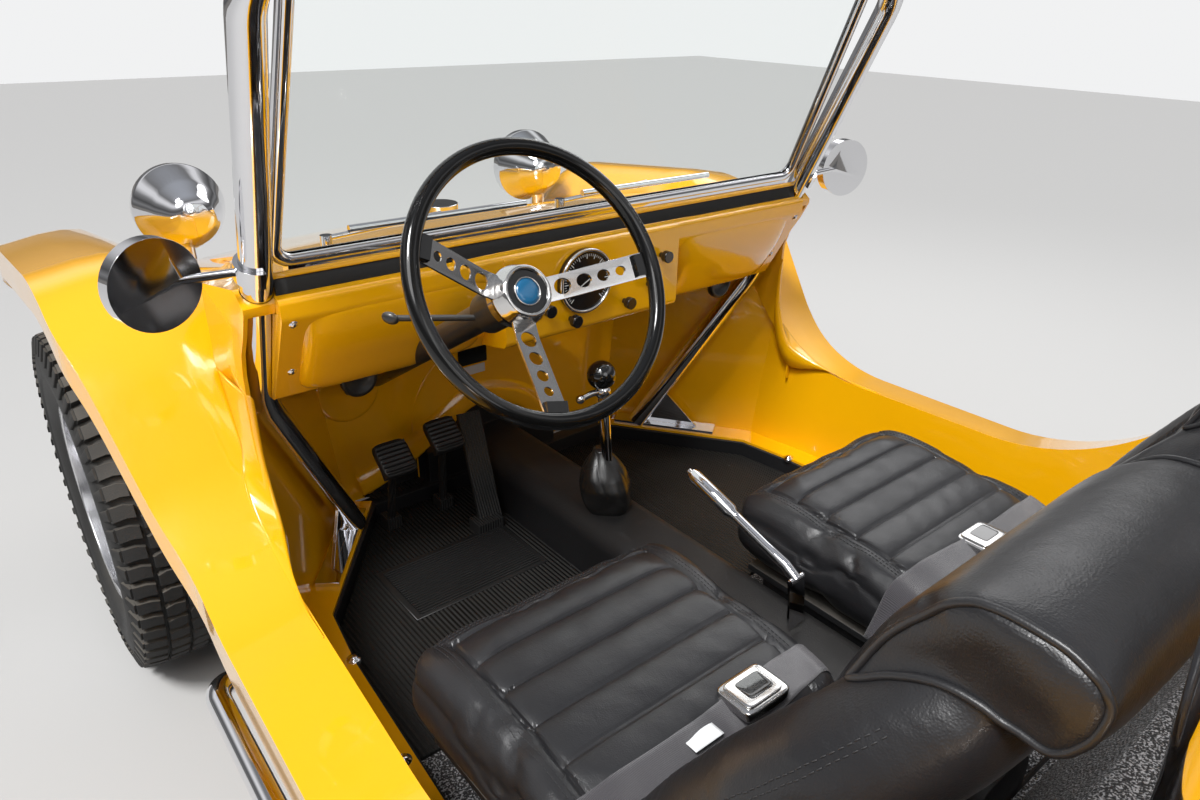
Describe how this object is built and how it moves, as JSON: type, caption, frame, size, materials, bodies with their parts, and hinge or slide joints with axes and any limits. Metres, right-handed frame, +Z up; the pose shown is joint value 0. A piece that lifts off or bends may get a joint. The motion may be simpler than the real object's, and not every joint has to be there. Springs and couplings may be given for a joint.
{
  "type": "dune buggy",
  "caption": "Open two-seat dune buggy: one-piece glass fibre body on a short floor pan, tube cage, bucket seats, dished steering wheel and a rear engine.",
  "frame": {"origin": "on the ground below the middle of the vehicle's outline", "axes": "+X the vehicle's left, +Y rearwards along its length, +Z up"},
  "size_m": [1.63, 3.2789, 1.367],
  "materials": {
    "body_yellow": "glossy pigmented glass fibre",
    "pan_black": "satin black enamel",
    "bright_trim": "polished chrome plate",
    "clear_glass": "clear laminated glass",
    "chassis_black": "gloss black chassis paint",
    "seat_vinyl": "black grained vinyl",
    "belt_webbing": "grey woven webbing",
    "wheel_black": "gloss black rim on polished spokes",
    "gauge_black": "black instrument face",
    "pedal_rubber": "ribbed black rubber",
    "boot_leather": "soft black leather",
    "amber_lens": "amber lens",
    "red_lens": "red lens",
    "cast_alloy": "dull cast light alloy",
    "shroud_black": "semi-gloss black sheet metal",
    "exhaust_black": "matt black heat paint",
    "wheel_alloy": "polished cast light alloy",
    "tyre_rubber": "black all-terrain tyre rubber"
  },
  "bodies": {
    "root": {"floor_pan": "pan_black", "body_tub": "body_yellow", "hood_cowl": "body_yellow", "dashboard": "body_yellow", "windscreen_frame": "bright_trim", "windscreen_glass": "clear_glass", "cage_front": "bright_trim", "cage_rear": "bright_trim", "cage_rails": "bright_trim", "seat_bases": "chassis_black", "seat_cushion_left": "seat_vinyl", "seat_cushion_right": "seat_vinyl", "seat_back_left": "seat_vinyl", "seat_back_right": "seat_vinyl", "lap_belts": "belt_webbing", "steering_column": "chassis_black", "dash_instruments": "gauge_black", "pedals": "pedal_rubber", "hand_levers": "bright_trim", "lever_boot": "boot_leather", "headlights": "bright_trim", "headlight_lenses": "clear_glass", "indicators": "amber_lens", "tail_lamps": "red_lens", "filler_cap": "bright_trim", "wipers": "bright_trim", "mirrors": "bright_trim", "tube_bars": "bright_trim", "front_axle": "chassis_black", "transaxle": "cast_alloy", "engine": "cast_alloy", "fan_shroud": "shroud_black", "exhaust": "exhaust_black"},
    "steering_wheel": {"steering_wheel": "wheel_black"},
    "track_rod": {"track_rod": "chassis_black"},
    "knuckle_left": {"knuckle_left": "chassis_black"},
    "knuckle_right": {"knuckle_right": "chassis_black"},
    "wheel_front_left": {"rim_front_left": "wheel_alloy", "tyre_front_left": "tyre_rubber"},
    "wheel_front_right": {"rim_front_right": "wheel_alloy", "tyre_front_right": "tyre_rubber"},
    "wheel_rear_left": {"rim_rear_left": "wheel_alloy", "tyre_rear_left": "tyre_rubber"},
    "wheel_rear_right": {"rim_rear_right": "wheel_alloy", "tyre_rear_right": "tyre_rubber"}
  },
  "joints": [
    {"name": "steer_left", "type": "hinge", "parent": "root", "child": "knuckle_left", "pos_m": [0.6, -1.0505, 0.35], "axis": [0, 0, 1], "range_deg": [-25, 25]},
    {"name": "steer_right", "type": "hinge", "parent": "root", "child": "knuckle_right", "pos_m": [-0.6, -1.0505, 0.35], "axis": [0, 0, 1], "range_deg": [-25, 25]},
    {"name": "track_rod_slide", "type": "slide", "parent": "root", "child": "track_rod", "axis": [-1, 0, 0], "range_m": [-0.0481, 0.0481]},
    {"name": "steering_wheel_turn", "type": "hinge", "parent": "root", "child": "steering_wheel", "pos_m": [0.322, -0.1335, 0.96], "axis": [0, 0.8599, 0.5105], "range_deg": [-350.5, 350.5]},
    {"name": "wheel_front_left_spin", "type": "hinge", "parent": "knuckle_left", "child": "wheel_front_left", "pos_m": [0.69, -1.0505, 0.35], "axis": [1, 0, 0], "continuous": true},
    {"name": "wheel_rear_left_spin", "type": "hinge", "parent": "root", "child": "wheel_rear_left", "pos_m": [0.675, 0.9815, 0.385], "axis": [1, 0, 0], "continuous": true},
    {"name": "wheel_front_right_spin", "type": "hinge", "parent": "knuckle_right", "child": "wheel_front_right", "pos_m": [-0.69, -1.0505, 0.35], "axis": [1, 0, 0], "continuous": true},
    {"name": "wheel_rear_right_spin", "type": "hinge", "parent": "root", "child": "wheel_rear_right", "pos_m": [-0.675, 0.9815, 0.385], "axis": [1, 0, 0], "continuous": true}
  ],
  "couplings": [
    {"joint": "steer_right", "follows": "steer_left", "ratio": 1},
    {"joint": "track_rod_slide", "follows": "steer_left", "m_per_rad": 0.11},
    {"joint": "steering_wheel_turn", "follows": "steer_left", "ratio": 14}
  ]
}
